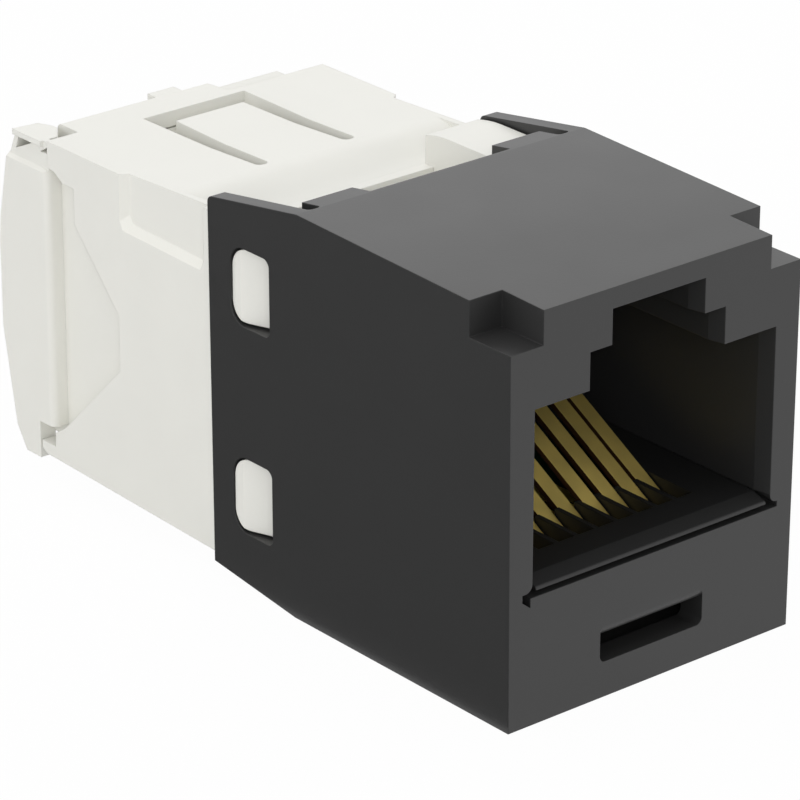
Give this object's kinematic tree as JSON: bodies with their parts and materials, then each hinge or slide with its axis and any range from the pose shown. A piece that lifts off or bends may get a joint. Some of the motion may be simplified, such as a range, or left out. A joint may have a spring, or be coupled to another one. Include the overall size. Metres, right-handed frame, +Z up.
{
  "type": "keystone jack",
  "caption": "Snap-in data jack: black front housing with a stepped plug port, and a white rear body with a slide-in wire cap.",
  "frame": {"origin": "on the port face, at the middle of the width, level with the flat underside", "axes": "+Y from the plug side to the cable side, +Z up through the top plate, +X to the right seen from the plug side"},
  "size_m": [0.0148, 0.0323, 0.0172],
  "materials": {
    "black_plastic": "fine moulded matte",
    "white_plastic": "smooth moulded satin",
    "gold_plate": "gold-plated spring strip",
    "board": "glass-epoxy board with solder mask",
    "tinned_bronze": "tin-plated bronze"
  },
  "bodies": {
    "housing": {"front_housing": "black_plastic", "contact_carrier": "black_plastic", "circuit_board": "board", "rear_body": "white_plastic", "wire_terminal_1": "tinned_bronze", "wire_terminal_2": "tinned_bronze", "wire_terminal_3": "tinned_bronze", "wire_terminal_4": "tinned_bronze", "wire_terminal_5": "tinned_bronze", "wire_terminal_6": "tinned_bronze", "wire_terminal_7": "tinned_bronze", "wire_terminal_8": "tinned_bronze"},
    "cap": {"wire_cap": "white_plastic"},
    "contact_1": {"contact_1": "gold_plate"},
    "contact_2": {"contact_2": "gold_plate"},
    "contact_3": {"contact_3": "gold_plate"},
    "contact_4": {"contact_4": "gold_plate"},
    "contact_5": {"contact_5": "gold_plate"},
    "contact_6": {"contact_6": "gold_plate"},
    "contact_7": {"contact_7": "gold_plate"},
    "contact_8": {"contact_8": "gold_plate"}
  },
  "joints": [
    {"name": "cap_slide", "type": "slide", "parent": "housing", "child": "cap", "axis": [0, 1, 0], "range_m": [0, 0.01]},
    {"name": "contact_1_flex", "type": "hinge", "parent": "housing", "child": "contact_1", "pos_m": [0, 0.01215, 0.00339], "axis": [1, 0, 0], "range_deg": [0, 4], "stiffness_Nm_per_rad": 0.08},
    {"name": "contact_2_flex", "type": "hinge", "parent": "housing", "child": "contact_2", "pos_m": [0, 0.01215, 0.00339], "axis": [1, 0, 0], "range_deg": [0, 4], "stiffness_Nm_per_rad": 0.08},
    {"name": "contact_3_flex", "type": "hinge", "parent": "housing", "child": "contact_3", "pos_m": [0, 0.01215, 0.00339], "axis": [1, 0, 0], "range_deg": [0, 4], "stiffness_Nm_per_rad": 0.08},
    {"name": "contact_4_flex", "type": "hinge", "parent": "housing", "child": "contact_4", "pos_m": [0, 0.01215, 0.00339], "axis": [1, 0, 0], "range_deg": [0, 4], "stiffness_Nm_per_rad": 0.08},
    {"name": "contact_5_flex", "type": "hinge", "parent": "housing", "child": "contact_5", "pos_m": [0, 0.01215, 0.00361], "axis": [1, 0, 0], "range_deg": [0, 4], "stiffness_Nm_per_rad": 0.08},
    {"name": "contact_6_flex", "type": "hinge", "parent": "housing", "child": "contact_6", "pos_m": [0, 0.01215, 0.00361], "axis": [1, 0, 0], "range_deg": [0, 4], "stiffness_Nm_per_rad": 0.08},
    {"name": "contact_7_flex", "type": "hinge", "parent": "housing", "child": "contact_7", "pos_m": [0, 0.01215, 0.00361], "axis": [1, 0, 0], "range_deg": [0, 4], "stiffness_Nm_per_rad": 0.08},
    {"name": "contact_8_flex", "type": "hinge", "parent": "housing", "child": "contact_8", "pos_m": [0, 0.01215, 0.00339], "axis": [1, 0, 0], "range_deg": [0, 4], "stiffness_Nm_per_rad": 0.08}
  ]
}
